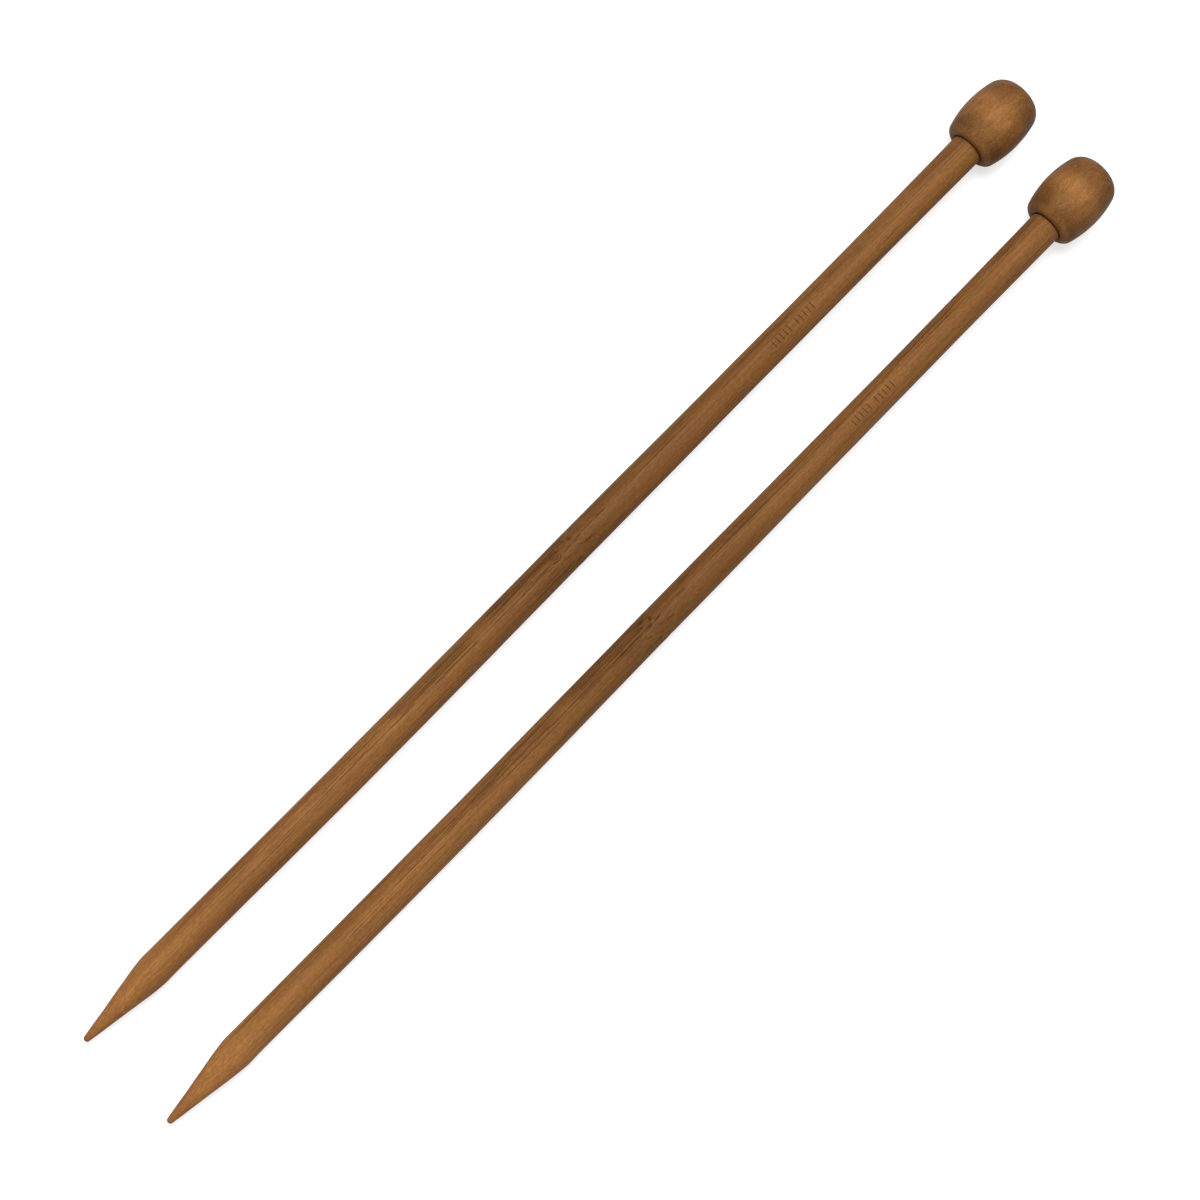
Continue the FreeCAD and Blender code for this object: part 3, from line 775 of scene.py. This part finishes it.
def turned_wood_material(name, seed):
    """Fine-pored hardwood, turned and waxed, with painted shade towards both ends and round the
    sides, and a painted highlight on top.
    """
    wood = Shader(name)
    position = wood.object_position()
    x, y, z = wood.separate(position)
    drift = (seed * 0.41, seed * 0.67, seed * 0.29)
    mottle = wood.noise(position, (210, 260, 260), detail=4, roughness=0.62, offset=drift)
    grain = wood.noise(position, (260, 1100, 1100), detail=3, roughness=0.6,
                       offset=scaled(drift, 2))
    pores = wood.noise(position, (900, 3200, 3200), detail=1, offset=scaled(drift, 3))
    specks = wood.noise(position, (1600, 2200, 2200), detail=2, offset=scaled(drift, 4))
    turning = wood.wave(wood.math("ADD", x, wood.hypotenuse(y, z)), TURNING_PITCH)
    # the crown's end grain shows the growth rings, a little off centre
    from_pith = wood.hypotenuse(wood.math("SUBTRACT", y, PITH_LEFT * MM),
                                wood.math("ADD", z, PITH_BELOW * MM))
    wobble = wood.math("MULTIPLY", wood.noise(position, (150, 260, 260), detail=1), 1.6 * MM)
    rings = wood.wave(wood.math("ADD", from_pith, wobble), GROWTH_RING_PITCH)
    rings = wood.product(rings, wood.remap(x, 15 * MM, 22 * MM))

    pore = wood.remap(pores, 0.60, 0.74)
    # painted light: the knob is lighter on top and a little to the left, darker round the sides and
    # below
    painted_top_light = wood.math("ADD", z, wood.math("MULTIPLY", y, 0.35))
    shade = wood.product(
        wood.remap(painted_top_light, 2.0 * MM, 10.0 * MM, 0.84, 1.08),
        # painted shade and a painted highlight from the patches, with some of the wood's own tone
        wood.remap(wood.attribute("toasted"), -1.0, 1.0, 1.5, 0.5, smooth=False),
        wood.remap(turning, -1.0, 1.0, 0.985, 1.015, smooth=False),
        wood.remap(rings, -1.0, 1.0, 0.92, 1.08, smooth=False),
        wood.vary(mottle, 0.82, 1.16), wood.vary(grain, 0.86, 1.14), wood.vary(specks, 0.82, 1.18),
        wood.remap(pore, 0.0, 1.0, 1.0, 0.75))
    leaning = wood.noise(position, (240, 300, 300), detail=3, offset=scaled(drift, 5))
    # the brightness along the knob is painted light: a highlight round the middle, shade towards
    # the ends
    colour = wood.tinted(wood.tone_along(x, KNOB_LENGTH, KNOB_HUE, KNOB_PAINTED_LIGHT), shade, leaning,
                         deepening=0.05, blue_lean=0.06)

    height = wood.math("SUBTRACT", wood.math("MULTIPLY", grain, 0.5), pore)
    height = wood.math("ADD", height, wood.math("MULTIPLY", turning, 0.12))
    wood.surface(Base_Color=colour, Roughness=wood.vary(mottle, 0.52, 0.44),
                 Specular_IOR_Level=0.16, Specular_Tint=SHEEN_TINT,
                 Normal=wood.bump(height, 0.03 * MM, strength=0.6))
    return wood.material


def glue_material(name):
    """Dried wood glue, amber brown, with a few trapped bubbles."""
    glue = Shader(name)
    position = glue.object_position()
    cloud = glue.noise(position, (600, 900, 900), detail=3)
    bubbles = glue.remap(glue.noise(position, (2400, 2400, 2400), detail=1), 0.62, 0.72)
    dark_amber, light_amber = (0.10, 0.045, 0.018, 1), (0.17, 0.08, 0.03, 1)
    colour = glue.mix(glue.remap(cloud, 0.3, 0.7), dark_amber, light_amber)
    glue.surface(Base_Color=colour, Roughness=glue.remap(cloud, 0.3, 0.7, 0.35, 0.5),
                 Normal=glue.bump(bubbles, 0.02 * MM, strength=0.5))
    return glue.material


def make_needle(side, seed):
    """One needle: its shaft and knob in place of the CAD's, and the glue film's material."""
    matrix, radius, base = needle_frame(side)
    random = np.random.default_rng(seed)
    body = f"{side}_needle"

    rings, colouring = shaft_surface(shaft_outline(radius, base), radius, random)
    mesh = lathe_mesh(f"{side}_shaft_detailed", rings, colouring)
    shaft = add_piece(f"{side}_shaft_bamboo", mesh, matrix,
                      bamboo_material(f"{side}_bamboo", seed, base + TENON_LENGTH))
    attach(shaft, body)
    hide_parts(f"{side}_shaft")

    rings, colouring = knob_surface(knob_outline(), random)
    mesh = lathe_mesh(f"{side}_knob_detailed", rings, colouring)
    knob = add_piece(f"{side}_knob_turned", mesh,
                     matrix @ Matrix.Translation((base * MM, 0, 0)),
                     turned_wood_material(f"{side}_turned_wood", seed))
    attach(knob, body)
    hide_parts(f"{side}_knob")

    film = frame["nodes"][f"{side}_glue_film"]
    film.material_slots[0].material = glue_material(f"{side}_wood_glue")


# The floor: half its side in metres, the share of light that it throws back, and the glow that
# only the camera sees
FLOOR_HALF = 5.0
FLOOR_TONE = 0.60
FLOOR_GLOW = 0.62


def make_floor():
    """A plain pale table top that looks white, and throws only a soft light back on the pair."""
    corners = [(x * FLOOR_HALF, y * FLOOR_HALF, 0)
               for x, y in ((-1, -1), (1, -1), (1, 1), (-1, 1))]
    mesh = bpy.data.meshes.new("floor")
    mesh.from_pydata(corners, [], [(0, 1, 2, 3)])
    paper = Shader("floor_paper")
    path = paper.tree.nodes.new("ShaderNodeLightPath")
    glow = paper.math("MULTIPLY", path.outputs["Is Camera Ray"], FLOOR_GLOW)
    paper.surface(Base_Color=(FLOOR_TONE, FLOOR_TONE, FLOOR_TONE, 1), Roughness=0.9,
                  Specular_IOR_Level=0.1, Emission_Color=(1, 1, 1, 1), Emission_Strength=glow)
    mesh.materials.append(paper.material)
    floor = bpy.data.objects.new("floor", mesh)
    floor.location.z = cad_low.z
    bpy.context.scene.collection.objects.link(floor)


# The studio's light: where the softbox stands and how wide it is, in metres, its power in watts,
# and how bright the fill light and the background are
SOFTBOX_PLACE = (0.45, 0.42, 1.98)
SOFTBOX_SIDE = 1.2
SOFTBOX_POWER = 42.0
FILL_STRENGTH = 0.42
BACKGROUND_STRENGTH = 1.0


def make_softbox(target):
    """A large square light high up on the left, past the knobs, that the camera doesn't see."""
    light = bpy.data.lights.new("softbox", "AREA")
    light.shape = "RECTANGLE"
    light.size = light.size_y = SOFTBOX_SIDE
    light.energy = SOFTBOX_POWER
    softbox = bpy.data.objects.new("softbox", light)
    softbox.visible_camera = False
    position = Vector(SOFTBOX_PLACE)
    look = (target - position).to_track_quat("-Z", "Y")
    softbox.matrix_world = Matrix.Translation(position) @ look.to_matrix().to_4x4()
    bpy.context.scene.collection.objects.link(softbox)


def make_world():
    """Even white fill light, with a plain pale background where the camera sees past the floor."""
    world = bpy.data.worlds.new("studio")
    bpy.context.scene.world = world
    world.use_nodes = True
    tree = world.node_tree
    fill = tree.nodes["Background"]
    fill.inputs["Color"].default_value = (1, 1, 1, 1)
    fill.inputs["Strength"].default_value = FILL_STRENGTH
    seen = tree.nodes.new("ShaderNodeBackground")
    seen.inputs["Color"].default_value = (1, 1, 1, 1)
    seen.inputs["Strength"].default_value = BACKGROUND_STRENGTH
    path = tree.nodes.new("ShaderNodeLightPath")
    choose = tree.nodes.new("ShaderNodeMixShader")
    tree.links.new(path.outputs["Is Camera Ray"], choose.inputs["Fac"])
    tree.links.new(fill.outputs["Background"], choose.inputs[1])
    tree.links.new(seen.outputs["Background"], choose.inputs[2])
    tree.links.new(choose.outputs["Shader"], tree.nodes["World Output"].inputs["Surface"])


# The camera looks down on the pair from the tips' side, with the needles running up to the right:
# metres from the target, degrees from straight down, focal length in mm, degrees from level, and
# where the target is from the pair's middle and above the floor
CAMERA_DISTANCE = 1.5
CAMERA_LEAN = 14.25
CAMERA_LENS = 154.3
NEEDLE_DIRECTION = 45.52
TARGET_ALONG = -0.0036
TARGET_ACROSS = 0.0003
TARGET_HEIGHT = 0.0075


def make_camera(middle):
    """The camera at the photograph's angle, aimed close to the pair's middle."""
    target = Vector((middle.x + TARGET_ALONG, middle.y + TARGET_ACROSS, TARGET_HEIGHT))
    camera = bpy.data.objects.new("camera", bpy.data.cameras.new("camera"))
    camera.data.sensor_width = 36.0
    camera.data.lens = CAMERA_LENS
    lean = math.radians(CAMERA_LEAN)
    back = Vector((-math.sin(lean), 0, math.cos(lean)))
    # the picture's right and up, so that +X runs up and to the right
    along = Vector((math.cos(lean), 0, math.sin(lean)))
    across = Vector((0, 1, 0))
    turn = math.radians(NEEDLE_DIRECTION)
    right = along * math.cos(turn) - across * math.sin(turn)
    up = along * math.sin(turn) + across * math.cos(turn)
    rotation = Matrix((right, up, back)).transposed().to_4x4()
    camera.matrix_world = Matrix.Translation(target + back * CAMERA_DISTANCE) @ rotation
    bpy.context.scene.collection.objects.link(camera)
    bpy.context.scene.camera = camera


for seed, side in enumerate(("left", "right"), start=1):
    make_needle(side, seed)

make_floor()
middle = (cad_low + cad_high) / 2
make_camera(middle)
make_softbox(middle)
make_world()
bpy.context.scene.view_settings.view_transform = "Standard"
